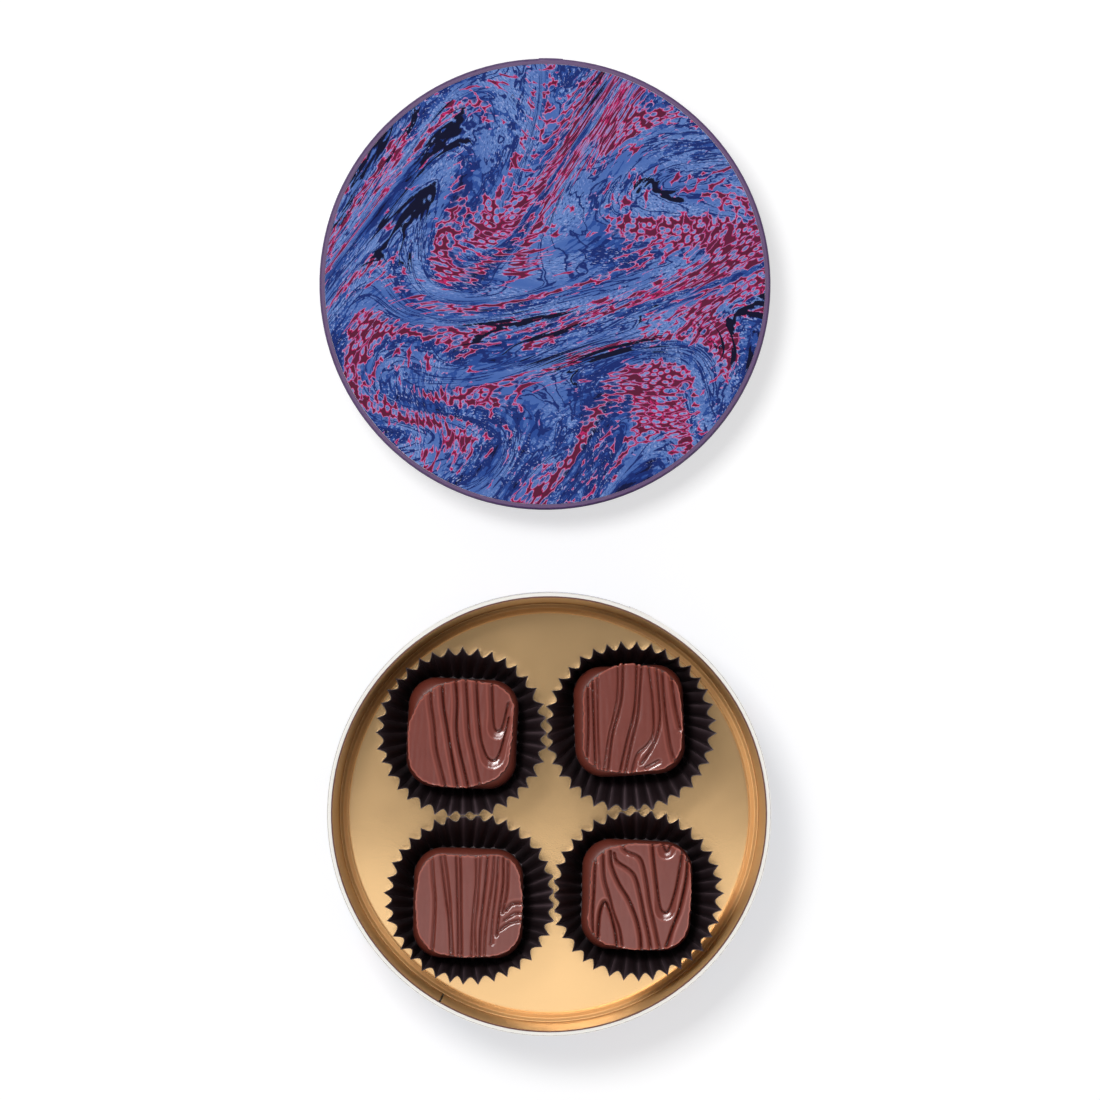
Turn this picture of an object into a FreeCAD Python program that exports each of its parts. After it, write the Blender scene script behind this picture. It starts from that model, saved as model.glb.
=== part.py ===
import FreeCAD, Part
import math
import os
import re
import Sketcher

# Round paperboard chocolate box, in millimetres, with +Z up and the origin under the middle of
# the base. The lid lies face up behind the base, and four chocolates stand in fluted paper cups.

# Driving dimensions, one cell each
SIZES = {
    # Base: wrapped board tube, leaning card lining, plain floor board and pressed tray
    "base_diameter": 110.0,
    "base_height": 26.0,
    "wrap_paper": 0.15,
    "wall_board": 0.8,
    "lining_card": 0.3,
    "lining_lean": 1.5,
    "lining_seam": 0.5,
    "floor_board": 1.4,
    "tray_board": 0.6,
    "tray_groove": 2.3,
    "tray_shoulder": 1.4,
    "tray_rise": 0.9,
    "tray_round": 0.8,
    "glue_gap": 0.05,
    "seam_lap": 6.0,
    # Lid: wrapped hoop that slips over the base, closed by a board with a printed disc
    "lid_gap": 20.4,
    "lid_height": 15.0,
    "lid_clearance": 0.3,
    "lid_board": 1.2,
    "lid_margin": 1.3,
    "lid_rim_round": 0.5,
    "lid_lining_paper": 0.15,
    "hoop_board": 0.5,
    "print_gap": 0.05,
    # Fluted cups, as wide as four of them fit in the lining
    "cup_wall_gap": 1.0,
    "cup_gap": 1.0,
    "cup_height": 16.0,
    "cup_paper": 0.25,
    "cup_pleat_depth": 1.7,
    "cup_foot_pleat_depth": 0.7,
    "cup_clearance": 0.35,
    # Chocolates: a coating round a square-cut centre, each side set in from its cup's rim
    "choc_inset": 7.6,
    "choc_corner": 6.5,
    "choc_height": 14.5,
    "choc_lean": 0.5,
    "choc_foot_round": 1.6,
    "choc_top_round": 0.9,
    "choc_coat": 1.6,
    "choc_wall": 3.0,
}

# Counts, turns in degrees, and places as shares of the pitch, the side or one pleat
CUP_PLEATS = 36
PLEAT_FACETS = 4
BASE_SEAM_TURN = 62.0
LID_SEAM_TURN = 85.0
LINING_SEAM_TURN = 239.6
CUP_PLACE_SHARES = ((-0.51, 0.485), (0.487, 0.51), (-0.47, -0.50), (0.52, -0.485))
CUP_TURN_SHARES = (0.0, 0.35, 0.6, 0.2)
CHOC_SHIFT_SHARES = ((0.018, -0.026), (-0.03, 0.04), (-0.005, -0.026), (-0.026, 0.015))
CHOC_TURNS = (-3.0, 2.0, -1.5, -2.5)

document = FreeCAD.newDocument("ChocolateBox")
sheet = document.addObject("Spreadsheet::Sheet", "Sizes")
for row, (alias, number) in enumerate(SIZES.items(), start=1):
    sheet.set(f"A{row}", alias)
    sheet.set(f"B{row}", str(number))
    sheet.setAlias(f"B{row}", alias)
document.recompute()

# Sizes that follow from the cells, as expressions
WRAP_INNER = "(base_diameter / 2 - wrap_paper)"
WALL_OUTER = f"({WRAP_INNER} - glue_gap)"
WALL_INNER = f"({WALL_OUTER} - wall_board)"
LINING_OUTER = f"({WALL_INNER} - glue_gap)"
LINING_FOOT = "(floor_board + tray_board)"
LINING_FOOT_INNER = f"({LINING_OUTER} - lining_lean - lining_card)"
TRAY_OUTER = f"({WALL_INNER} - glue_gap)"
TRAY_TOP = "(floor_board + tray_rise + tray_board)"
HOOP_INNER = "(base_diameter / 2 + lid_clearance)"
HOOP_OUTER = f"({HOOP_INNER} + hoop_board)"
HOOP_TOP = "(lid_height - wrap_paper)"
LID_WRAP_INNER = f"({HOOP_OUTER} + glue_gap)"
LID_OUTER = f"({LID_WRAP_INNER} + wrap_paper)"
LID_PLACE = f"(base_diameter / 2 + lid_gap + {LID_OUTER})"
PRINT_RADIUS = f"({LID_OUTER} - lid_margin)"
CUP_RADIUS = f"(({LINING_FOOT_INNER} - cup_wall_gap - cup_gap / sqrt(2)) / (1 + sqrt(2)))"
CUP_PITCH = f"(2 * {CUP_RADIUS} + cup_gap)"
CHOC_SIDE = f"(2 * {CUP_RADIUS} - 2 * choc_inset)"
CHOC_FLOOR = f"({TRAY_TOP} + cup_paper)"


def cells(expression):
    """The expression with each named size turned into its cell in the sheet."""
    return re.sub(r"[a-z_]+", lambda word: f"Sizes.{word[0]}" if word[0] in SIZES else word[0], expression)


def value(expression):
    """The number that an expression of named sizes comes to."""
    return float(sheet.evalExpression(cells(expression)))


def bind(target, path, expression):
    """Ties a property to an expression of named sizes."""
    target.setExpression(path, cells(expression))


def place(target, x="0", y="0", z="0", turn=0.0):
    """Puts a sub-part at its place, turned about its own upright axis."""
    target.Placement = FreeCAD.Placement(FreeCAD.Vector(), FreeCAD.Rotation(turn, 0, 0))
    for axis, expression in (("x", x), ("y", y), ("z", z)):
        bind(target, f"Placement.Base.{axis}", expression)


def new_body(label):
    body = document.addObject("PartDesign::Body", label)
    body.Label = label
    return body


def new_sketch(body, name, role):
    """A sketch on one of the body's own origin planes."""
    sketch = body.newObject("Sketcher::SketchObject", name)
    plane = next(feature for feature in body.Origin.OriginFeatures if feature.Role == role)
    sketch.AttachmentSupport = (plane, [""])
    sketch.MapMode = "FlatFace"
    return sketch


def size_constraint(sketch, expression, kind, *where):
    """Adds a dimension to a sketch and ties it to an expression."""
    number = sketch.addConstraint(Sketcher.Constraint(kind, *where, value(expression)))
    bind(sketch, f"Constraints[{number}]", expression)


def profile_sketch(body, name, points):
    """A closed upright outline: pairs of radius and height, as expressions."""
    sketch = new_sketch(body, name, "XZ_Plane")
    corners = [FreeCAD.Vector(value(radius), value(height), 0) for radius, height in points]
    following = corners[1:] + corners[:1]
    for corner, next_corner in zip(corners, following):
        sketch.addGeometry(Part.LineSegment(corner, next_corner), False)
    for side in range(len(corners)):
        sketch.addConstraint(Sketcher.Constraint("Coincident", side, 2, (side + 1) % len(corners), 1))
    for side, (radius, height) in enumerate(points):
        if radius == "0":
            sketch.addConstraint(Sketcher.Constraint("PointOnObject", side, 1, -2))
        else:
            size_constraint(sketch, radius, "DistanceX", -1, 1, side, 1)
        if height == "0":
            sketch.addConstraint(Sketcher.Constraint("PointOnObject", side, 1, -1))
        else:
            size_constraint(sketch, height, "DistanceY", -1, 1, side, 1)
    return sketch


def add_turned(body, name, points, sweep="360"):
    """Revolves an upright outline about the body's axis, all round or through part of a turn."""
    sketch = profile_sketch(body, f"{name}_profile", points)
    turned = body.newObject("PartDesign::Revolution", f"{name}_turned")
    turned.Profile = sketch
    turned.ReferenceAxis = (sketch, ["V_Axis"])
    bind(turned, "Angle", sweep)
    document.recompute()
    return turned


def rounded(body, feature, radius, circles):
    """Rounds the circular edges of a feature at the given pairs of radius and height."""
    names = []
    for edge_radius, height in circles:
        for number, edge in enumerate(feature.Shape.Edges, start=1):
            middle = edge.valueAt((edge.FirstParameter + edge.LastParameter) / 2)
            here = (math.hypot(middle.x, middle.y), middle.z)
            if math.dist(here, (value(edge_radius), value(height))) < Part.Precision.confusion():
                names.append(f"Edge{number}")
    fillet = body.newObject("PartDesign::Fillet", f"{feature.Name}_round")
    fillet.Base = (feature, names)
    bind(fillet, "Radius", radius)
    document.recompute()
    return fillet


def disc(label, radius, bottom, top):
    """A flat round sheet or board."""
    body = new_body(label)
    add_turned(body, label, (("0", bottom), (radius, bottom), (radius, top), ("0", top)))
    return body


def ring(label, inner, outer, bottom, top):
    """A plain tube."""
    body = new_body(label)
    add_turned(body, label, ((inner, bottom), (outer, bottom), (outer, top), (inner, top)))
    return body


def add_lap(body, name, radius, top):
    """The lapped end of a wrapping paper: one more layer over a narrow upright strip."""
    outer = f"({radius} + wrap_paper)"
    strip = ((radius, "0"), (outer, "0"), (outer, top), (radius, top))
    return add_turned(body, name, strip, f"seam_lap / {radius} * 180 / pi")


def build_base_wrap():
    """Patterned paper round the wall, with its lapped end."""
    body = ring("base_wrap", WRAP_INNER, "(base_diameter / 2)", "0", "base_height")
    add_lap(body, "base_wrap_lap", "(base_diameter / 2)", "base_height")
    place(body, turn=BASE_SEAM_TURN)
    return body


def build_base_lining():
    """A strip of gilt card that leans in from the rim to the tray's groove, with an open seam."""
    outline = (
        (LINING_FOOT_INNER, LINING_FOOT),
        (f"({LINING_FOOT_INNER} + lining_card)", LINING_FOOT),
        (LINING_OUTER, "base_height"),
        (f"{LINING_OUTER} - lining_card", "base_height"),
    )
    body = new_body("base_lining")
    add_turned(body, "base_lining", outline, f"360 - lining_seam / {LINING_OUTER} * 180 / pi")
    place(body, turn=LINING_SEAM_TURN)
    return body


def build_base_tray():
    """A pressed gilt tray: a raised panel, and round it a groove that the lining's foot stands in."""
    slope = "((sqrt(tray_shoulder^2 + tray_rise^2) - tray_shoulder) / tray_rise)"
    groove_floor = "(floor_board + tray_board)"
    panel_under = "(floor_board + tray_rise)"
    shoulder_foot = f"({TRAY_OUTER} - tray_groove)"
    shoulder_top = f"({shoulder_foot} - tray_shoulder)"
    under_foot = f"({shoulder_foot} - tray_board * {slope})"
    under_top = f"({shoulder_top} - tray_board * {slope})"
    outline = (
        ("0", panel_under),
        (under_top, panel_under),
        (under_foot, "floor_board"),
        (TRAY_OUTER, "floor_board"),
        (TRAY_OUTER, groove_floor),
        (shoulder_foot, groove_floor),
        (shoulder_top, TRAY_TOP),
        ("0", TRAY_TOP),
    )
    body = new_body("base_tray")
    pressed = add_turned(body, "base_tray", outline)
    rounded(body, pressed, "tray_round", ((shoulder_top, TRAY_TOP),))
    return body


def build_lid_hoop():
    """The lid's board band, its upper edge eased."""
    body = new_body("lid_hoop")
    outline = ((HOOP_INNER, "0"), (HOOP_OUTER, "0"), (HOOP_OUTER, HOOP_TOP), (HOOP_INNER, HOOP_TOP))
    band = add_turned(body, "lid_hoop", outline)
    rounded(body, band, "(lid_rim_round - wrap_paper)", ((HOOP_OUTER, HOOP_TOP),))
    return body


def build_lid_wrap():
    """Plain paper round the hoop, turned over the rim to the printed disc, with its lapped end."""
    outline = (
        (LID_WRAP_INNER, "0"),
        (LID_OUTER, "0"),
        (LID_OUTER, "lid_height"),
        (PRINT_RADIUS, "lid_height"),
        (PRINT_RADIUS, HOOP_TOP),
        (LID_WRAP_INNER, HOOP_TOP),
    )
    body = new_body("lid_wrap")
    folded = add_turned(body, "lid_wrap", outline)
    eased = rounded(body, folded, "(lid_rim_round - wrap_paper)", ((LID_WRAP_INNER, HOOP_TOP),))
    rounded(body, eased, "lid_rim_round", ((LID_OUTER, "lid_height"),))
    add_lap(body, "lid_wrap_lap", LID_OUTER, "(lid_height - lid_rim_round)")
    return body


def build_lid():
    """The lid's pieces, lying behind the base with the printed face up."""
    lining_top = f"({HOOP_TOP} - lid_board)"
    pieces = [
        build_lid_hoop(),
        disc("lid_top_board", f"({HOOP_INNER} - glue_gap)", lining_top, HOOP_TOP),
        disc("lid_print", f"({PRINT_RADIUS} - print_gap)", HOOP_TOP, "lid_height"),
        disc("lid_lining", f"({HOOP_INNER} - print_gap)", f"({lining_top} - lid_lining_paper)", lining_top),
    ]
    for piece in pieces:
        place(piece, y=LID_PLACE)
    wrap = build_lid_wrap()
    place(wrap, y=LID_PLACE, turn=LID_SEAM_TURN)
    return pieces + [wrap]


def square_reach(half_side, corner, angle):
    """Distance from the middle of a rounded square to its edge, in the direction of an angle."""
    quarter = math.pi / 2
    folded = abs((angle + quarter / 2) % quarter - quarter / 2)
    if math.tan(folded) <= (half_side - corner) / half_side:
        return half_side / math.cos(folded)
    arm = (half_side - corner) * math.sqrt(2)
    off = folded - quarter / 2
    return arm * math.cos(off) + math.sqrt(corner**2 - (arm * math.sin(off)) ** 2)


def fold_inside(tip, depth, paper):
    """Where the inner faces of two neighbouring pleats meet behind a tip of the outer face."""
    half_pleat = math.pi / CUP_PLEATS
    half_chord = tip * math.sin(half_pleat)
    sagitta = tip * math.cos(half_pleat) - (tip - depth)
    bend = (half_chord**2 + sagitta**2) / (2 * sagitta)
    middle = tip - depth + bend
    reach = math.sqrt((bend + paper) ** 2 - (middle * math.sin(half_pleat)) ** 2)
    return middle * math.cos(half_pleat) - reach


def cup_ring(inside, share, shift, choc_turn, pleat_turn):
    """Points round the pleated outer or inner face of a cup, at a share of its height.

    The foot hugs the chocolate's rounded square, and the rim is round. Each pleat follows an arc
    from tip to tip through its valley, in a few flat facets.
    """
    paper = value("cup_paper")
    half_side = value(f"{CHOC_SIDE} / 2 + cup_clearance + cup_paper")
    corner = value("choc_corner + cup_clearance + cup_paper")
    foot_depth = value("cup_foot_pleat_depth")
    rim_tip = value(CUP_RADIUS)
    rim_depth = value("cup_pleat_depth")
    height = value("cup_height")

    def spot(half_pleats):
        is_tip = half_pleats % 2 == 0
        angle = (half_pleats / 2 + pleat_turn) * 2 * math.pi / CUP_PLEATS
        foot_valley = square_reach(half_side, corner, angle - math.radians(choc_turn))
        foot_tip = foot_valley + foot_depth
        foot_reach = foot_tip if is_tip else foot_valley
        rim_reach = rim_tip if is_tip else rim_tip - rim_depth
        if inside and is_tip:
            foot_reach = fold_inside(foot_tip, foot_depth, paper)
            rim_reach = fold_inside(rim_tip, rim_depth, paper)
        elif inside:
            foot_reach = foot_reach - paper
            rim_reach = rim_reach - paper
        way = FreeCAD.Vector(math.cos(angle), math.sin(angle), 0)
        foot = way * foot_reach + shift
        rim = way * rim_reach
        return foot + (rim - foot) * share + FreeCAD.Vector(0, 0, height * share)

    points = []
    for pleat in range(CUP_PLEATS):
        tip, valley, next_tip = (spot(2 * pleat + step) for step in range(3))
        points += Part.Arc(tip, valley, next_tip).toShape().discretize(PLEAT_FACETS + 1)[:-1]
    return points


def closed_polygon(points):
    return Part.makePolygon(points + points[:1])


def facet_band(lower, upper):
    """Flat facets between two rings of points, two to each side."""
    facets = []
    for here in range(len(lower)):
        after = (here + 1) % len(lower)
        for corners in ([lower[here], lower[after], upper[after]], [lower[here], upper[after], upper[here]]):
            facets.append(Part.Face(closed_polygon(corners)))
    return facets


def build_cup(number):
    """A fluted paper cup: pleated outer and inner faces, a flat floor and a cut rim."""
    shift_share = CHOC_SHIFT_SHARES[number]
    shift = FreeCAD.Vector(*(share * value(CHOC_SIDE) for share in shift_share), 0)
    stance = (shift, CHOC_TURNS[number], CUP_TURN_SHARES[number])
    foot = cup_ring(False, 0, *stance)
    rim = cup_ring(False, 1, *stance)
    floor = cup_ring(True, value("cup_paper / cup_height"), *stance)
    mouth = cup_ring(True, 1, *stance)
    faces = facet_band(foot, rim) + facet_band(floor, mouth)
    faces += [Part.Face(closed_polygon(foot)), Part.Face(closed_polygon(floor))]
    faces.append(Part.Face([closed_polygon(rim), closed_polygon(mouth[::-1])]))
    shell = Part.makeShell(faces)
    shell.sewShape()
    solid = Part.makeSolid(shell)
    if solid.Volume < 0:
        solid.reverse()
    cup = document.addObject("Part::Feature", f"paper_cup_{number + 1}")
    cup.Shape = solid
    x_share, y_share = CUP_PLACE_SHARES[number]
    place(cup, f"{CUP_PITCH} * {x_share}", f"{CUP_PITCH} * {y_share}", TRAY_TOP)
    return cup


def square_sketch(body, name, side, corner=None):
    """A square about the body's axis, with rounded corners where a radius is given."""
    sketch = new_sketch(body, name, "XY_Plane")
    half = value(side) / 2
    radius = value(corner) if corner else 0
    flat = half - radius
    for quarter in range(4):
        turn = FreeCAD.Rotation(90 * quarter, 0, 0)
        start = turn.multVec(FreeCAD.Vector(-flat, -half, 0))
        end = turn.multVec(FreeCAD.Vector(flat, -half, 0))
        sketch.addGeometry(Part.LineSegment(start, end), False)
    if corner:
        for quarter in range(4):
            turn = FreeCAD.Rotation(90 * quarter, 0, 0)
            middle = turn.multVec(FreeCAD.Vector(flat, -flat, 0))
            circle = Part.Circle(middle, FreeCAD.Vector(0, 0, 1), radius)
            first = math.radians(90 * quarter - 90)
            sketch.addGeometry(Part.ArcOfCircle(circle, first, first + math.pi / 2), False)
        for quarter in range(4):
            sketch.addConstraint(Sketcher.Constraint("Tangent", quarter, 2, quarter + 4, 1))
            sketch.addConstraint(Sketcher.Constraint("Tangent", quarter + 4, 2, (quarter + 1) % 4, 1))
        for quarter in range(1, 4):
            sketch.addConstraint(Sketcher.Constraint("Equal", 4, quarter + 4))
        size_constraint(sketch, corner, "Radius", 4)
    else:
        for quarter in range(4):
            sketch.addConstraint(Sketcher.Constraint("Coincident", quarter, 2, (quarter + 1) % 4, 1))
    for quarter in range(4):
        kind = "Horizontal" if quarter % 2 == 0 else "Vertical"
        sketch.addConstraint(Sketcher.Constraint(kind, quarter))
    sketch.addConstraint(Sketcher.Constraint("Symmetric", 0, 1, 2, 1, -1, 1))
    size_constraint(sketch, side, "DistanceX", 3, 1, 1, 1)
    size_constraint(sketch, side, "DistanceY", 0, 1, 2, 1)
    return sketch


def add_pad(body, name, sketch, length):
    pad = body.newObject("PartDesign::Pad", f"{name}_pad")
    pad.Profile = sketch
    bind(pad, "Length", length)
    return pad


def level_edges(feature, height):
    """The edges of a feature that lie level at a height."""
    names = []
    for number, edge in enumerate(feature.Shape.Edges, start=1):
        if all(abs(corner.Z - height) < Part.Precision.confusion() for corner in edge.Vertexes):
            names.append(f"Edge{number}")
    return names


def build_chocolate(number):
    """A square-cut centre, and the coating that closes round it with drawn-in sides."""
    x_share, y_share = CUP_PLACE_SHARES[number]
    x_shift, y_shift = CHOC_SHIFT_SHARES[number]
    x = f"{CUP_PITCH} * {x_share} + {CHOC_SIDE} * {x_shift}"
    y = f"{CUP_PITCH} * {y_share} + {CHOC_SIDE} * {y_shift}"

    centre = new_body(f"chocolate_centre_{number + 1}")
    centre_square = square_sketch(centre, f"centre_{number + 1}_square", f"{CHOC_SIDE} - 2 * choc_wall")
    add_pad(centre, f"centre_{number + 1}", centre_square, "choc_height - 2 * choc_coat")
    place(centre, x, y, f"{CHOC_FLOOR} + choc_coat", CHOC_TURNS[number])

    block = new_body(f"chocolate_block_{number + 1}")
    block_square = square_sketch(block, f"block_{number + 1}_square", CHOC_SIDE, "choc_corner")
    pad = add_pad(block, f"block_{number + 1}", block_square, "choc_height")
    bind(pad, "TaperAngle", "-atan(choc_lean / choc_height)")
    document.recompute()
    foot = block.newObject("PartDesign::Fillet", f"block_{number + 1}_foot")
    foot.Base = (pad, level_edges(pad, 0))
    bind(foot, "Radius", "choc_foot_round")
    document.recompute()
    top = block.newObject("PartDesign::Fillet", f"block_{number + 1}_top")
    top.Base = (foot, level_edges(foot, value("choc_height")))
    bind(top, "Radius", "choc_top_round")
    place(block, x, y, CHOC_FLOOR, CHOC_TURNS[number])

    coating = document.addObject("Part::Cut", f"chocolate_coating_{number + 1}")
    coating.Base = block
    coating.Tool = centre
    return [coating, centre]


def build_all():
    nodes = [
        ring("base_wall", WALL_INNER, WALL_OUTER, "0", "base_height"),
        build_base_wrap(),
        build_base_lining(),
        disc("base_floor_board", f"({WALL_INNER} - glue_gap)", "0", "floor_board"),
        build_base_tray(),
    ]
    nodes += build_lid()
    for number in range(len(CUP_PLACE_SHARES)):
        nodes.append(build_cup(number))
        nodes += build_chocolate(number)
    document.recompute()
    return nodes


def check(nodes):
    """Stops before anything is written if a feature failed or a shape is not a valid solid."""
    for feature in document.Objects:
        if "Invalid" in feature.State or "Error" in feature.State:
            raise RuntimeError(f"{feature.Name} failed: {feature.State}")
    for node in nodes:
        shape = node.Shape
        if shape.isNull() or not shape.isValid() or len(shape.Solids) != 1:
            raise RuntimeError(f"{node.Label} is not one valid solid")


def write(nodes):
    os.makedirs("parts", exist_ok=True)
    for node in nodes:
        node.Shape.exportStep(f"parts/{node.Label}.step")
        box = node.Shape.BoundBox
        print(f"{node.Label}: {node.Shape.Volume:.1f} mm3, height {box.ZMin:.2f} to {box.ZMax:.2f}")


all_nodes = build_all()
check(all_nodes)
write(all_nodes)
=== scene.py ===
import math
import random

import bpy
import numpy as np
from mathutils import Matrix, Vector


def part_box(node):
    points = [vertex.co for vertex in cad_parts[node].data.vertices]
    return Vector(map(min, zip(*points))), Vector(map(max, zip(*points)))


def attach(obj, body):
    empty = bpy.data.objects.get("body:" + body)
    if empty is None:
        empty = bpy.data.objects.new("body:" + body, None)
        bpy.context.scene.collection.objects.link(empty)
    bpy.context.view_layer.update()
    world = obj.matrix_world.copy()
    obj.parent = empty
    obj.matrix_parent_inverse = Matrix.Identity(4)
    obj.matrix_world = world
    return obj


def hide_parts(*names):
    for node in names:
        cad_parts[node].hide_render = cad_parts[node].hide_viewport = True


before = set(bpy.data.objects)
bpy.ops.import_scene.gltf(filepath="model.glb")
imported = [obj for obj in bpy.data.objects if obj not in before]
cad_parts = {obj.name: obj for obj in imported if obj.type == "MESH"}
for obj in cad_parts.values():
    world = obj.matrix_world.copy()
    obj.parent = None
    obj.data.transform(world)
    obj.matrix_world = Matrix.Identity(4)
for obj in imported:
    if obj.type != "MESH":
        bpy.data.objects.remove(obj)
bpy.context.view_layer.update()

# A round chocolate box seen from straight above: marbled lid, gilt tray, fluted cups, grained chocolates.
# Lengths are in millimetres where a name ends in _MM, and in metres elsewhere. By the ends of their names,
# _NOISE holds a feature size in millimetres, detail, roughness and sometimes distortion, _BUMP a height in
# millimetres and a strength, _TONE an eight-bit colour as it looks, and _TONES the two ends of a mix.
MM = 0.001
TURN = 2 * math.pi
QUARTER = math.pi / 2
WHITE = (1.0, 1.0, 1.0, 1.0)

# Camera and studio
PICTURE_PIXELS = 1100
PIXELS_PER_MM = 4.04
CAMERA_HEIGHT = 4.0
CAMERA_MIDDLE_MM = (0.744, 65.416)
CAMERA_ROLL = math.radians(-0.434)
SENSOR_MM = 36.0
FAR_CLIP = 40.0
FLOOR_SIZE = 24.0
FLOOR_DROP = 0.0002
FLOOR_WHITE = 0.5
FLOOR_GLOW = 0.6
HORIZON_LEVEL = 1.0
ZENITH_LEVEL = 0.27
DIM_ABOVE = 0.6
KEY_PLACE = (-0.5, 0.66, 1.85)
KEY_AIM = (0.0, 0.06, 0.0)
KEY_SIZE = (0.6, 0.6)
KEY_WATTS = 24.5
CARD_PLACE = (0.0, -0.165, 0.3)
CARD_SIZE = (0.4, 0.3)
CARD_WATTS = 0.31
BACK_PLACE = (-0.1, 1.0, 1.65)
BACK_AIM = (0.0, 0.0, 0.0)
BACK_SIZE = (0.9, 0.5)
BACK_WATTS = 14.5

# Chocolates, numbered as the nodes are: back left, back right, front left, front right
CHOC_SEED = 40
CHOC_HALF_MM = 13.3
CHOC_BODY_MM = 13.6
CHOC_CORNER_MM = 7.0
CHOC_TURN_DEGREES = (-3.0, 2.0, -1.5, -2.5)
CHOC_SEGMENTS = 384
CHOC_TOP_RINGS = 84
CHOC_SHARP = math.radians(62.0)

# Wavy lines round a chocolate: waves in a full turn, and their height
WAVE_FORCES = (0.5, 1.0)
BODY_WAVES = (2, 3, 5)
BODY_WAVE_MM = 0.12
LIP_WAVES = (23, 31, 41, 57)
LIP_WAVE_MM = 0.12
LIP_BOWS = (9, 13)
LIP_BOW_MM = 0.06

# The lip round the pressed top, notched by the grain, and fine streaks across the top; the lip's pale line
# is a painted highlight, and the grooves' dark colour is painted shade
TOP_DROP_MM = 0.16
LIP_INSET_MM = 0.1
LIP_NOTCH_MM = 0.7
LIP_WIDTH_MM = 0.24
LIP_RAISE_MM = 0.03
LIP_HIGHLIGHT_MARK = 0.9
GROOVE_SHADE_MARK = 0.9
STREAK_COUNT = 9
STREAK_RADIANS_PER_MM = (1.5, 5.0)
STREAK_LEAN_PER_MM = 0.4
STREAK_HEIGHT_MM = 0.004

# The side from the lip down: rolled lip, tuck under it, neck, shoulder, belly and foot; the rolled lip
# carries a painted highlight, and the tuck and neck carry painted shade under the lip
ROLL_OUT_MM = 0.08
ROLL_DROP_MM = 0.12
ROLL_LEAST_DROP_MM = 0.3
ROLL_HIGHLIGHT_MARK = 0.6
TUCK_OUT_MM = 0.1
TUCK_DROP_MM = 0.1
TUCK_SHADE = 0.8
NECK_OUT_MM = 0.12
NECK_DROP_MM = 0.87
NECK_SHADE = 0.3
SHOULDER_DROP_MM = 3.4
SHOULDER_START = math.radians(26.0)
SHOULDER_RINGS = 11
BELLY_RINGS = 5
BELLY_POWER = 2
FOOT_INSET_MM = 0.25
FOOT_ROUND_MM = 1.2
FOOT_RINGS = 4
FOOT_MIDDLE_SHARE = 0.5

# How far the pressed top stops short of the body, at every eighth of a turn from +X
TOP_INSETS_MM = (
    (1.2, 1.3, 0.1, 3.0, 0.2, 0.8, 0.1, 2.4),
    (0.3, 1.3, -0.8, 2.7, 2.2, 2.0, 0.7, 1.2),
    (0.0, 1.3, 1.9, 1.6, 0.5, 1.5, 0.1, 1.0),
    (0.1, 0.6, 0.8, 2.8, 1.9, 1.7, 0.0, 0.6),
)

# Wood grain: a narrow groove along each line, a gentle slope on its right that runs out wider at the tip of
# a bend, and a steep wall on its left
CHOC_RELIEF_SHARES = (1.0, 0.78, 0.68, 1.05)
CHOC_REACH_SHARES = (0.9, 0.85, 0.72, 0.75)
LINE_STEPS = 6
LINE_FORCES = (0.75, 1.1)
GROOVE_WIDTH_MM = 0.23
GROOVE_DEPTH_MM = 0.4
SLOPE_REACH_MM = 1.45
SLOPE_DEPTH_MM = 0.56
WALL_REACH_MM = 0.2
TIP_REACH_MM = 1.75
TIP_SPREAD_MM = 2.8
END_FADE_MM = 0.6
# A painted highlight along the crest where each slope runs out
CREST_HIGHLIGHT_WIDTH_MM = 0.26

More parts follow.
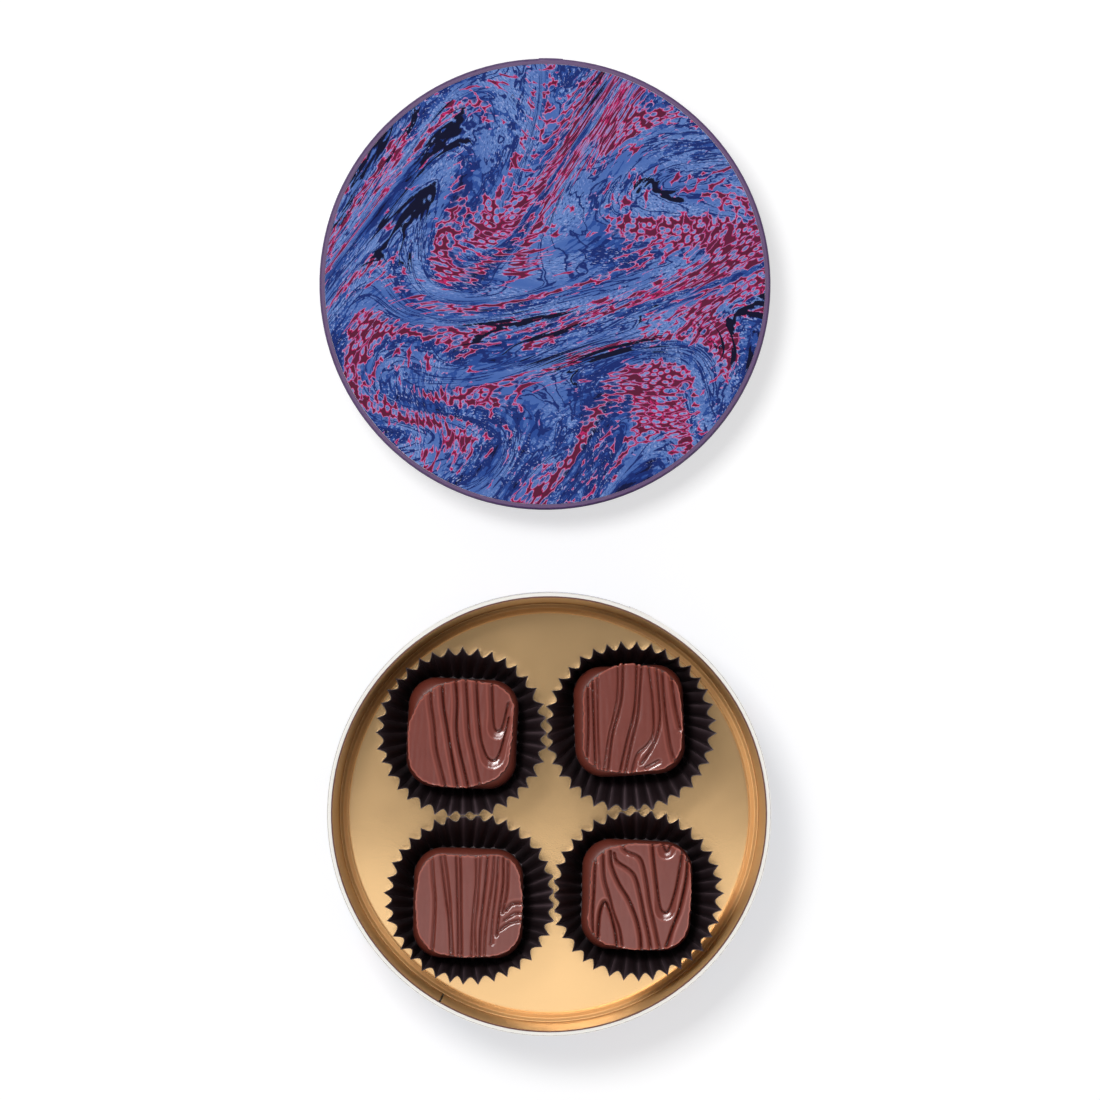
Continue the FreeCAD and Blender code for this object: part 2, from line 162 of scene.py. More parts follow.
# The lines of the grain across each top, in shares of half a side
GRAIN_SHARES = (
    (
        ((-0.62, 0.9), (-0.61, 0.58), (-0.53, 0.13), (-0.47, -0.3), (-0.37, -0.66), (-0.26, -1.02)),
        ((-0.42, 0.99), (-0.37, 0.51), (-0.28, 0.08), (-0.18, -0.4), (-0.04, -1.01)),
        ((-0.17, 1.02), (-0.12, 0.58), (-0.11, 0.11), (-0.04, -0.28), (0.16, -0.99)),
        ((0.02, 1.02), (0.08, 0.48), (0.13, 0.01), (0.25, -0.47), (0.37, -0.95)),
        ((0.22, 1.02), (0.28, 0.41), (0.35, -0.07), (0.45, -0.36), (0.53, -0.46), (0.62, -0.47),
         (0.7, -0.36), (0.79, 0.0), (0.85, 0.34)),
        ((0.51, 0.98), (0.55, 0.48), (0.58, 0.2), (0.62, 0.09), (0.7, 0.08), (0.75, 0.19), (0.83, 0.6)),
    ),
    (
        ((-0.74, 0.73), (-0.76, -0.09), (-0.82, -0.77)),
        ((-0.67, -0.94), (-0.66, 0.01), (-0.65, 0.84)),
        ((-0.55, 0.92), (-0.58, -0.09), (-0.58, -0.98)),
        ((-0.53, -1.01), (-0.4, -0.3), (-0.3, 0.06), (-0.2, 0.48), (-0.16, 1.07)),
        ((-0.06, 1.11), (-0.11, 0.48), (-0.2, 0.12), (-0.32, -0.27), (-0.44, -1.0)),
        ((-0.24, -1.05), (-0.07, -0.41), (0.07, 0.05), (0.14, 0.47), (0.19, 1.12)),
        ((0.29, 1.12), (0.22, 0.47), (0.16, 0.04), (0.03, -0.41), (-0.13, -1.04)),
        ((-0.02, -1.06), (0.12, -0.64), (0.3, -0.48), (0.43, -0.28), (0.46, 0.03), (0.45, 0.46),
         (0.4, 1.11)),
        ((0.55, 1.06), (0.58, 0.45), (0.58, 0.0), (0.5, -0.33), (0.37, -0.57), (0.2, -0.81)),
        ((0.66, 0.99), (0.68, 0.29), (0.73, -0.27), (0.77, -0.57), (0.87, -0.95)),
        ((0.82, 0.87), (0.87, 0.31), (0.95, -0.18)),
        ((0.27, -0.88), (0.4, -0.82), (0.52, -0.76)),
    ),
    (
        ((-0.68, 0.84), (-0.65, 0.47), (-0.61, 0.05), (-0.62, -0.47), (-0.65, -0.98)),
        ((-0.31, -0.99), (-0.35, -0.36), (-0.41, 0.05), (-0.47, 0.47), (-0.53, 0.86)),
        ((-0.45, 0.87), (-0.38, 0.43), (-0.33, 0.0), (-0.3, -0.47), (-0.26, -1.01)),
        ((-0.17, -1.01), (-0.18, -0.47), (-0.2, 0.0), (-0.22, 0.47), (-0.24, 0.86)),
        ((-0.16, 0.89), (-0.14, 0.47), (-0.13, 0.0), (-0.11, -0.59), (-0.1, -1.02)),
        ((0.08, -1.02), (0.08, -0.47), (0.11, 0.0), (0.14, 0.43), (0.13, 0.93)),
        ((0.22, 0.93), (0.2, 0.43), (0.18, 0.0), (0.14, -0.47), (0.17, -1.01)),
        ((0.23, -1.01), (0.24, -0.47), (0.28, 0.0), (0.32, 0.43), (0.35, 0.9)),
        ((0.47, 0.88), (0.45, 0.43), (0.38, -0.12), (0.33, -0.59), (0.32, -0.98)),
        ((0.44, -0.75), (0.47, -0.24), (0.53, 0.36), (0.55, 0.86)),
        ((0.65, 0.86), (0.65, 0.36), (0.59, -0.12), (0.55, -0.59)),
        ((0.74, 0.81), (0.73, 0.24), (0.65, -0.17)),
        ((1.01, 0.02), (0.83, 0.0), (0.71, -0.12)),
        ((0.99, -0.17), (0.86, -0.19), (0.69, -0.31)),
        ((0.98, -0.31), (0.79, -0.36), (0.59, -0.5)),
    ),
    (
        ((-0.79, 0.63), (-0.79, 0.09), (-0.8, -0.39), (-0.77, -0.87)),
        ((-0.65, 0.81), (-0.61, 0.32), (-0.51, -0.01), (-0.41, -0.34), (-0.29, -0.65), (-0.23, -0.96)),
        ((-0.51, 0.8), (-0.47, 0.52), (-0.33, 0.21), (-0.14, -0.08), (0.02, -0.44), (0.1, -0.74),
         (0.13, -1.02)),
        ((-0.44, 0.77), (-0.38, 0.62), (-0.14, 0.47), (-0.02, 0.32), (0.08, -0.01), (0.17, -0.39),
         (0.26, -0.74), (0.31, -1.01)),
        ((-0.3, 0.98), (-0.24, 0.83), (0.0, 0.73), (0.1, 0.59), (0.19, 0.23), (0.26, -0.15),
         (0.38, -0.62), (0.47, -0.99)),
        ((0.26, 0.99), (0.31, 0.62), (0.37, 0.23), (0.43, -0.13), (0.48, -0.27), (0.56, -0.31),
         (0.63, -0.23), (0.69, -0.03), (0.75, 0.25), (0.83, 0.84)),
        ((0.59, -0.93), (0.71, -0.53), (0.81, -0.23), (0.91, 0.32), (0.93, 0.8)),
        ((-0.33, -0.98), (-0.38, -0.68), (-0.5, -0.29), (-0.59, -0.15), (-0.67, -0.39), (-0.69, -0.87)),
        ((0.46, 0.96), (0.53, 0.83), (0.61, 0.96)),
    ),
)

# Milk chocolate, and the filling inside it; the roughness and the bump run from the side to the top
COATING_SHINE = 0.72
COATING_SIDE_SHINE = 0.4
COATING_CLOUD_NOISE = (4.0, 4.0, 0.6)
COATING_FINE_NOISE = (0.5, 3.0, 0.6)
COATING_TOP_TONES = ((117, 51, 42), (132, 62, 51))
# The sides are darker than the top: partly their own colour, partly painted shade
COATING_SHADED_SIDE_TONES = ((98, 41, 30), (116, 51, 38))
# Painted highlight along the crests
COATING_CREST_HIGHLIGHT_TONE = (160, 84, 72)
COATING_CREST_HIGHLIGHT_SHARE = 0.75
# Painted highlight along the lip
COATING_LIP_HIGHLIGHT_TONE = (188, 100, 84)
# Painted shade in the grooves and under the lip
COATING_GROOVE_SHADE_TONE = (62, 24, 17)
COATING_ROUGHNESS = (0.44, 0.2)
COATING_UNEVEN = 0.05
COATING_BUMP_SHARES = (0.2, 1.0)
COATING_BUMP = (0.03, 0.5)
CENTRE_ROUGHNESS = 0.7
CENTRE_CRUMB_NOISE = (0.8, 4.0, 0.7)
CENTRE_TONES = ((66, 34, 24), (108, 66, 44))
CENTRE_BUMP = (0.15, 0.7)

# Gilt card: the tray is smooth, and dull like the lining beyond its panel; the lining's cut edge is red
GILT_TINT = (0.91, 0.59, 0.29, 1.0)
GILT_METAL = 1.0
GILT_ROUGHNESS = 0.17
GILT_DULL = 0.94
GILT_WEAR = 0.04
GILT_GRAIN_SHARE = 0.3
GILT_CLOUD_NOISE = (22.0, 3.0, 0.55, 0.4)
GILT_GRAIN_NOISE = (0.4, 3.0, 0.6)
GILT_BUMP = (0.012, 0.5)
LINING_TINT = (0.75, 0.45, 0.19, 1.0)
LINING_METAL = 0.4
LINING_ROUGHNESS = 0.5
DULL_BEYOND_MM = 49.6
DULL_FADE_MM = 0.9
RED_EDGE_TONE = (92, 34, 24)
RED_EDGE_START_MM = 0.06
RED_EDGE_FULL_MM = 0.02

# The pressed tray, as radius and height above the tray's foot
TRAY_SEGMENTS = 256
TRAY_SHARP = math.radians(60.0)
TRAY_PANEL_SHARES = (0.25, 0.5, 0.75)
TRAY_FOOT_SHARE = 0.5
TRAY_PROFILE_MM = (
    (49.0, 0.9), (49.5, 0.89), (50.0, 0.85), (50.4, 0.78), (50.75, 0.68), (51.0, 0.58), (51.15, 0.53),
    (51.25, 0.56), (51.4, 0.7), (51.65, 1.0), (51.85, 1.2), (52.0, 1.28), (52.1, 1.25), (52.14, 1.1),
)

# Fluted cups
CUP_COUNT = 4
CUP_SEED = 70
CUP_PLEATS = 36
PLEAT_STEPS = 12
CUP_RINGS = 16
CUP_FLOOR_RINGS = 8
CUP_FLOOR_FIRST_SHARE = 0.12
CUP_FLOOR_LAST_SHARE = 0.97
CUP_FLOOR_POWER = 3
CUP_PAPER_MM = 0.12
CUP_RIM_MM = 21.45
CUP_RIM_PLEAT_MM = 2.0
CUP_FOOT_PLEAT_MM = 0.5
CUP_FOOT_GAP_MM = 0.15
CUP_CLEARANCE_MM = 0.2
CUP_LEAST_SHARE = 0.1
CUP_DRAWN_IN_SHARE = 0.975
CUP_TURN_SHARES = (0.0, 0.5, 0.5, 0.0)
CUP_TURN_JITTER = 0.08
CUP_REACH_JITTER_MM = 0.15
CUP_DEPTH_JITTER_MM = 0.2
CUP_VALLEY_POWER = 0.9
CUP_FLARE_POWER = 0.94
CUP_WEAR_AND_SHEEN_POWER = 2
CUP_SHARP = math.radians(50.0)

# Cup paper and its cut edge
CUP_SHINE = 0.42
CUP_FIBRE_NOISE = (0.5, 4.0, 0.65)
CUP_CLOUD_NOISE = (5.0, 2.0, 0.5)
CUP_BLACK_TONES = ((28, 18, 21), (40, 28, 32))
# Paler along the pleat crests: partly wear of the creases, partly painted sheen
CUP_CREASE_WEAR_AND_SHEEN_TONE = (108, 90, 96)
CUP_WEAR_AND_SHEEN_BY_FIBRE = (0.5, 1.0)
CUP_ROUGHNESS = (0.34, 0.5)
CUP_BUMP = (0.03, 0.5)
CUP_EDGE_ROUGHNESS = 0.5
CUP_EDGE_NOISE = (0.4, 3.0, 0.6)
CUP_EDGE_TONES = ((52, 40, 40), (96, 82, 74))

# Purple paper, paler on faces that look up: painted light
PURPLE_SHINE = 0.4
PURPLE_CLOUD_NOISE = (6.0, 4.0, 0.6)
PURPLE_FIBRE_NOISE = (0.3, 3.0, 0.6)
PURPLE_SIDE_TONES = ((66, 44, 90), (84, 60, 108))
PURPLE_LIT_TOP_TONES = ((80, 48, 98), (98, 66, 116))
PURPLE_LIT_TOP_FACING = (0.55, 0.98)
PURPLE_ROUGHNESS = (0.38, 0.55)
PURPLE_BUMP = (0.03, 0.5)

# White board, with stains where both the cloud and the fibres rise
BOARD_SHINE = 0.2
BOARD_FIBRE_NOISE = (0.5, 4.0, 0.65)
BOARD_CLOUD_NOISE = (9.0, 2.0, 0.5)
BOARD_TONES = ((246, 242, 234), (255, 253, 248))
BOARD_STAIN_TONE = (228, 220, 206)
BOARD_STAIN_CLOUD = (0.5, 0.7)
BOARD_STAIN_FIBRE = (0.55, 0.7)
BOARD_ROUGHNESS = (0.7, 0.9)
BOARD_BUMP = (0.05, 0.6)

# Marbling: each stroke drags the colours along a direction in waves, given as
# direction in degrees, wavelength, drag and phase in turns
STROKES_MM = (
    (34.0, 88.0, 27.0, 0.12),
    (126.0, 92.0, 12.0, 0.55),
    (29.0, 47.0, 12.0, 0.81),
    (101.0, 64.0, 7.0, 0.37),
    (39.0, 29.0, 6.0, 0.64),
    (141.0, 41.0, 3.5, 0.05),
    (32.0, 17.0, 2.4, 0.22),
)
FULL_DRAG_SHARE = 1.0
HALF_DRAG_SHARE = 0.5
WALL_LAP_TURN = math.radians(62.0)
LAY_TURN = math.radians(33.0)
LAY_ALONG = (math.cos(LAY_TURN), math.sin(LAY_TURN), 0)
LAY_ACROSS = (-math.sin(LAY_TURN), math.cos(LAY_TURN), 0)

# The levels that the marbling's colours follow; a lay is an offset in millimetres and a stretch along
# the strokes
GRIT_NOISE = (0.6, 3.0, 0.65)
PATCH_NOISE = (15.0, 2.0, 0.5)
SWEEP_NOISE = (12.0, 3.0, 0.5)
SWEEP_LAY = (11.0, 0.24)
SHADE_NOISE = (11.0, 4.0, 0.55)
SHADE_LAY = (71.0, 0.24)
VEIN_NOISE = (7.0, 3.0, 0.55)
VEIN_LAY = (60.0, 0.3)
VEIN_GRIT_SHARE = 0.05
DENSE_SWEEP_SHARE = 4.4
DENSE_SHIFT = -0.11
DENSE_MOST = 0.36

# Nets of cells: their lay, their size in millimetres, and what share of other levels adds to them
CELL_LEVELS = {
    "dashes": ((40.0, 0.36), 1.4, (("shade", 5.0), ("grit", 0.4))),
    "streaks": ((90.0, 0.26), 1.0, (("shade", 4.6), ("grit", 0.3))),
    "net": ((0.0, 0.5), 1.12, (("dense", 1.0), ("patch", 0.4), ("grit", 0.22))),
    "worms": ((25.0, 0.34), 1.3, (("sweep", 1.3), ("shade", -0.9), ("grit", 0.3))),
}

# Colours laid one over another: a tone, and the levels that fade it in, from one value to another
GROUND_TONES = ((70, 104, 176), (100, 132, 196))
GROUND_PATCH = (-0.16, 0.12)
BLUE_LAYERS = (
    ((42, 76, 152), ("streaks", 0.56, 0.6)),
    ((20, 44, 114), ("dashes", 0.84, 0.87)),
    ((8, 16, 62), ("dashes", 1.25, 1.28)),
    ((28, 56, 130), ("grit", 0.08, 0.1), ("patch", -0.12, 0.06)),
    ((156, 168, 218), ("grit", -0.09, -0.11), ("patch", -0.12, 0.06)),
)
RED_LAYERS = (
    ((188, 30, 94), ("net", 0.685, 0.7)),
    ((94, 26, 56), ("net", 0.785, 0.805)),
    ((200, 40, 108), ("net", 0.66, 0.7), ("patch", 0.08, 0.16), ("grit", 0.0, 0.05)),
    ((172, 128, 190), ("worms", 0.72, 0.74)),
    ((176, 34, 92), ("worms", 0.77, 0.79)),
    ((98, 28, 60), ("worms", 0.86, 0.88)),
)
VEIN_TONE = (24, 44, 112)
VEIN_LEVELS = (0.41, 0.46, 0.57)
VEIN_HALF_WIDTH = 0.009
VEIN_SOFT = 0.006
PALE_TONE = (136, 150, 208)
PALE_FADES = (("sweep", 0.03, 0.12), ("net", 0.3, 0.5))
PALE_SHARE = 0.6
OUTLINE_TONE = (192, 140, 190)
OUTLINE_LEVEL = 0.65
OUTLINE_HALF_WIDTH = 0.03
OUTLINE_SOFT = 0.015
DARK_TONE = (8, 10, 42)
DARK_NOISE = (34.0, 2.0, 0.5)
DARK_PLACES = (0.52, 0.66)
DARK_LEVEL = 0.5
DARK_WIDTH = 0.05
DARK_THINNING = -0.006
DARK_SOFT = 0.006
CUT_EDGE_TONE = (248, 244, 238)
CUT_EDGE_FACING = (0.8, 0.95)
MARBLE_SHINE = 0.1
MARBLE_FIBRE_NOISE = (0.35, 3.0, 0.6)
MARBLE_ROUGHNESS = (0.68, 0.84)
MARBLE_BUMP = (0.02, 0.4)

# Sockets of Blender's mix node, by number because its colours share names with other inputs
MIX_FACTOR = 0
MIX_FIRST = 6
MIX_SECOND = 7
MIX_RESULT = 2


def seen(red, green, blue):
    """A linear colour from the eight-bit colour that it looks like, by the sRGB formula."""
    def linear(level):
        level = level / 255
        return level / 12.92 if level <= 0.04045 else ((level + 0.055) / 1.055) ** 2.4

    return (linear(red), linear(green), linear(blue), 1.0)


class Finish:
    """A procedural material, with short ways to add nodes to it."""

    def __init__(self, name, sockets):
        self.material = bpy.data.materials.new(name)
        self.material.use_nodes = True
        self.tree = self.material.node_tree
        self.surface = self.tree.nodes["Principled BSDF"]
        for socket, given in sockets.items():
            self.surface.inputs[socket].default_value = given

    def node(self, kind, given=(), out=0, **settings):
        made = self.tree.nodes.new(kind)
        for name, setting in settings.items():
            setattr(made, name, setting)
        for key, value in dict(given).items():
            if isinstance(value, bpy.types.NodeSocket):
                self.tree.links.new(value, made.inputs[key])
            else:
                made.inputs[key].default_value = value
        return made.outputs[out]

    def place(self):
        """Where the point lies on its own object, in millimetres."""
        return self.vector("SCALE", self.node("ShaderNodeTexCoord", out="Object"), Scale=1 / MM)

    def math(self, operation, *values):
        return self.node("ShaderNodeMath", enumerate(values), operation=operation)

    def vector(self, operation, *values, out=0, **named):
        given = dict(enumerate(values))
        given.update(named)
        return self.node("ShaderNodeVectorMath", given, out=out, operation=operation)

    def dot(self, vector, fixed):
        return self.vector("DOT_PRODUCT", vector, fixed, out="Value")

    def parts(self, vector):
        split = self.tree.nodes.new("ShaderNodeSeparateXYZ")
        self.tree.links.new(vector, split.inputs[0])
        return split.outputs

    def join(self, *parts):
        return self.node("ShaderNodeCombineXYZ", enumerate(parts))

    def facing_up(self):
        """1 on faces that look straight up, 0 on upright ones."""
        return self.parts(self.node("ShaderNodeNewGeometry", out="Normal"))["Z"]

    def noise(self, vector, size, detail, roughness, distortion=0.0):
        """Soft noise whose features are about a given size."""
        given = {"Vector": vector, "Scale": 1 / size, "Detail": detail, "Roughness": roughness}
        given["Distortion"] = distortion
        return self.node("ShaderNodeTexNoise", given)

    def swing(self, vector, *noise):
        """Soft noise that swings about zero."""
        return self.between(self.noise(vector, *noise), -0.5, 0.5)

    def cells(self, vector, size):
        """Distance inside flat cells of about a given size."""
        given = {"Vector": vector, "Scale": 1 / size}
        return self.node("ShaderNodeTexVoronoi", given, out="Distance", voronoi_dimensions="2D")

    def attribute(self, name):
        return self.node("ShaderNodeAttribute", out="Fac", attribute_name=name)

    def rise(self, value, low, high):
        """0 on one side of a range, 1 on the other, smooth between."""
        given = {"Value": value, "From Min": low, "From Max": high}
        return self.node("ShaderNodeMapRange", given, interpolation_type="SMOOTHSTEP")

    def band(self, value, middle, half_width, soft):
        """1 near a value, falling to 0 on both sides of it."""
        away = self.math("ABSOLUTE", self.math("SUBTRACT", value, middle))
        return self.rise(away, half_width + soft, half_width)

    def both(self, *masks):
        result = masks[0]
        for mask in masks[1:]:
            result = self.math("MULTIPLY", result, mask)
        return result

    def mix(self, factor, first, second):
        given = {MIX_FACTOR: factor, MIX_FIRST: first, MIX_SECOND: second}
        return self.node("ShaderNodeMix", given, out=MIX_RESULT, data_type="RGBA")

    def tones(self, factor, pair):
        """A colour that runs from one tone to another with a factor."""
        first, second = pair
        return self.mix(factor, seen(*first), seen(*second))

    def cover(self, colour, mask, tone):
        """A colour with a tone laid over it where a mask is 1."""
        return self.mix(mask, colour, seen(*tone))

    def between(self, factor, low, high):
        """A number that runs from one value to another with a factor."""
        return self.node("ShaderNodeMapRange", {"Value": factor, "To Min": low, "To Max": high})

    def use(self, socket, value):
        self.tree.links.new(value, self.surface.inputs[socket])

    def bump(self, height, distance_mm, strength):
        given = {"Height": height, "Distance": distance_mm * MM, "Strength": strength}
        self.use("Normal", self.node("ShaderNodeBump", given))


def drag(finish, point, share):
    """Carries a point back through the strokes that marbled the paper, each by a share of its drag."""
    for degrees, wave, shift, phase in STROKES_MM:
        angle = math.radians(degrees)
        along = (math.cos(angle), math.sin(angle), 0)
        across = (-math.sin(angle) * TURN / wave, math.cos(angle) * TURN / wave, 0)
        swing = finish.math("SINE", finish.math("ADD", finish.dot(point, across), phase * TURN))
        length = finish.math("MULTIPLY", swing, shift * share)
        point = finish.vector("ADD", point, finish.vector("SCALE", along, Scale=length))
    return point


def laid(finish, vector, offset, stretch):
    """The dragged paper drawn out along the lie of the strokes."""
    along = finish.math("MULTIPLY", finish.dot(vector, LAY_ALONG), stretch)
    return finish.join(finish.math("ADD", along, offset), finish.dot(vector, LAY_ACROSS), 0.0)


def marble_levels(finish, full, half):
    """The noises and nets of cells that the marbling's colours follow, by name."""
    levels = {
        "grit": finish.swing(half, *GRIT_NOISE),
        "patch": finish.swing(half, *PATCH_NOISE),
        "sweep": finish.swing(laid(finish, full, *SWEEP_LAY), *SWEEP_NOISE),
        "shade": finish.swing(laid(finish, full, *SHADE_LAY), *SHADE_NOISE),
    }
    vein = finish.noise(laid(finish, full, *VEIN_LAY), *VEIN_NOISE)
    levels["vein"] = finish.math("MULTIPLY_ADD", levels["grit"], VEIN_GRIT_SHARE, vein)
    dense = finish.math("MULTIPLY_ADD", levels["sweep"], DENSE_SWEEP_SHARE, DENSE_SHIFT)
    levels["dense"] = finish.math("MINIMUM", dense, DENSE_MOST)
    for name, (lay, size_mm, changes) in CELL_LEVELS.items():
        level = finish.cells(laid(finish, half, *lay), size_mm)
        for change, share in changes:
            level = finish.math("MULTIPLY_ADD", levels[change], share, level)
        levels[name] = level
    return levels


def marbled(name, flat_point, white_edge=False):
    """Marbled paper: blue fields, wine-red nets of pale cells with crimson outlines, and dark veins."""
    finish = Finish(name, {"Specular IOR Level": MARBLE_SHINE})
    point = flat_point(finish)
    full = drag(finish, point, FULL_DRAG_SHARE)
    half = drag(finish, point, HALF_DRAG_SHARE)
    levels = marble_levels(finish, full, half)

    def faded(*fades):
        return finish.both(*[finish.rise(levels[level], low, high) for level, low, high in fades])

    # Blue ground, with deeper dashes that crowd together along the sweep, and drawn-out blue lines
    colour = finish.tones(finish.rise(levels["patch"], *GROUND_PATCH), GROUND_TONES)
    for tone, *fades in BLUE_LAYERS:
        colour = finish.cover(colour, faded(*fades), tone)
    for level in VEIN_LEVELS:
        line = finish.band(levels["vein"], level, VEIN_HALF_WIDTH, VEIN_SOFT)
        colour = finish.cover(colour, line, VEIN_TONE)

    # Wine-red net, with lone worms where it is thin and round pale cells where it is dense, and short
    # red worms strewn over the blue
    colour = finish.cover(colour, finish.math("MULTIPLY", faded(*PALE_FADES), PALE_SHARE), PALE_TONE)
    outline = finish.band(levels["net"], OUTLINE_LEVEL, OUTLINE_HALF_WIDTH, OUTLINE_SOFT)
    colour = finish.cover(colour, outline, OUTLINE_TONE)
    for tone, *fades in RED_LAYERS:
        colour = finish.cover(colour, faded(*fades), tone)

    # Long dark veins in a few places
    place = finish.rise(finish.noise(half, *DARK_NOISE), *DARK_PLACES)
    away = finish.math("ABSOLUTE", finish.math("SUBTRACT", levels["vein"], DARK_LEVEL))
    thick = finish.math("MULTIPLY_ADD", place, DARK_WIDTH, DARK_THINNING)
    dark = finish.rise(finish.math("SUBTRACT", thick, away), 0.0, DARK_SOFT)
    colour = finish.cover(colour, dark, DARK_TONE)
    if white_edge:
        colour = finish.cover(colour, finish.rise(finish.facing_up(), *CUT_EDGE_FACING), CUT_EDGE_TONE)
    finish.use("Base Color", colour)

    fibre = finish.noise(point, *MARBLE_FIBRE_NOISE)
    finish.use("Roughness", finish.between(fibre, *MARBLE_ROUGHNESS))
    finish.bump(fibre, *MARBLE_BUMP)
    return finish.material


def lid_point(finish):
    """The lid's face, measured from its middle."""
    low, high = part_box("lid_print")
    middle = (low + high) / (2 * MM)
    return finish.vector("SUBTRACT", finish.place(), (middle.x, middle.y, middle.z))


def wall_point(finish):
    """The wall unrolled, from the lapped end of its paper."""
    point = finish.place()
    facing_away = finish.dot(point, (-math.cos(WALL_LAP_TURN), -math.sin(WALL_LAP_TURN), 0))
    aside = finish.dot(point, (math.sin(WALL_LAP_TURN), -math.cos(WALL_LAP_TURN), 0))
    angle = finish.math("ARCTAN2", aside, facing_away)
    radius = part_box("base_wrap")[1].x / MM
    return finish.join(finish.math("MULTIPLY", angle, radius), finish.parts(point)["Z"], 0.0)


def purple_paper():
    """Plain dyed paper, paler on faces that look up, over the rim, by painted light."""
    finish = Finish("purple_paper", {"Specular IOR Level": PURPLE_SHINE})
    point = finish.place()
    cloud = finish.noise(point, *PURPLE_CLOUD_NOISE)
    fibre = finish.noise(point, *PURPLE_FIBRE_NOISE)
    side = finish.tones(cloud, PURPLE_SIDE_TONES)
    top = finish.tones(cloud, PURPLE_LIT_TOP_TONES)
    # Faces that look up get paler tones: painted light
    finish.use("Base Color", finish.mix(finish.rise(finish.facing_up(), *PURPLE_LIT_TOP_FACING), side, top))
    finish.use("Roughness", finish.between(fibre, *PURPLE_ROUGHNESS))
    finish.bump(fibre, *PURPLE_BUMP)
    return finish.material


def raw_board():
    """White board with fibres and faint stains."""
    finish = Finish("raw_board", {"Specular IOR Level": BOARD_SHINE})
    point = finish.place()
    fibre = finish.noise(point, *BOARD_FIBRE_NOISE)
    cloud = finish.noise(point, *BOARD_CLOUD_NOISE)
    stain = finish.both(finish.rise(cloud, *BOARD_STAIN_CLOUD), finish.rise(fibre, *BOARD_STAIN_FIBRE))
    finish.use("Base Color", finish.cover(finish.tones(fibre, BOARD_TONES), stain, BOARD_STAIN_TONE))
    finish.use("Roughness", finish.between(fibre, *BOARD_ROUGHNESS))
    finish.bump(fibre, *BOARD_BUMP)
    return finish.material


def gilt_card(name, tint, roughness, metal, red_edge_mm=None, dull_beyond_mm=None):
    """Clouded gilt card, if asked with a red-brown cut edge, or as dull as the lining beyond a radius."""
    finish = Finish(name, {"Metallic": metal})
    point = finish.place()
    cloud = finish.noise(point, *GILT_CLOUD_NOISE)
    grain = finish.noise(point, *GILT_GRAIN_NOISE)
    dull = tuple(GILT_DULL * part for part in tint[:3]) + (1.0,)
    colour = finish.mix(cloud, dull, tint)
    worn = finish.math("MULTIPLY_ADD", grain, GILT_GRAIN_SHARE, cloud)
    rough = finish.between(worn, roughness - GILT_WEAR, roughness + GILT_WEAR)
    if red_edge_mm is not None:
        height = finish.parts(point)["Z"]
        edge = finish.rise(height, red_edge_mm - RED_EDGE_START_MM, red_edge_mm - RED_EDGE_FULL_MM)
        colour = finish.cover(colour, edge, RED_EDGE_TONE)
        finish.use("Metallic", finish.between(edge, metal, 0.0))
    if dull_beyond_mm is not None:
        reach = finish.vector("LENGTH", finish.vector("MULTIPLY", point, (1, 1, 0)), out="Value")
        rim = finish.rise(reach, dull_beyond_mm, dull_beyond_mm + DULL_FADE_MM)
        colour = finish.mix(rim, colour, LINING_TINT)
        rough = finish.math("MAXIMUM", rough, finish.math("MULTIPLY", rim, LINING_ROUGHNESS))
        finish.use("Metallic", finish.between(rim, metal, LINING_METAL))
    finish.use("Base Color", colour)
    finish.use("Roughness", rough)
    finish.bump(grain, *GILT_BUMP)
    return finish.material


def cup_paper():
    """Black glassine-like paper, paler along its pleat crests with wear and painted sheen, with fine fibres.
    """
    finish = Finish("cup_paper", {"Specular IOR Level": CUP_SHINE})
    point = finish.place()
    fibre = finish.noise(point, *CUP_FIBRE_NOISE)
    black = finish.tones(finish.noise(point, *CUP_CLOUD_NOISE), CUP_BLACK_TONES)
    # Paler along the pleat crests: partly wear of the creases, partly painted sheen
    worn = finish.math("MULTIPLY", finish.attribute("crease"), finish.between(fibre, *CUP_WEAR_AND_SHEEN_BY_FIBRE))
    finish.use("Base Color", finish.cover(black, worn, CUP_CREASE_WEAR_AND_SHEEN_TONE))
    finish.use("Roughness", finish.between(fibre, *CUP_ROUGHNESS))
    finish.bump(fibre, *CUP_BUMP)
    return finish.material


def cup_edge():
    """The cut edge of the cup paper, paler than its face."""
    finish = Finish("cup_edge", {"Roughness": CUP_EDGE_ROUGHNESS})
    fibre = finish.noise(finish.place(), *CUP_EDGE_NOISE)
    finish.use("Base Color", finish.tones(fibre, CUP_EDGE_TONES))
    return finish.material


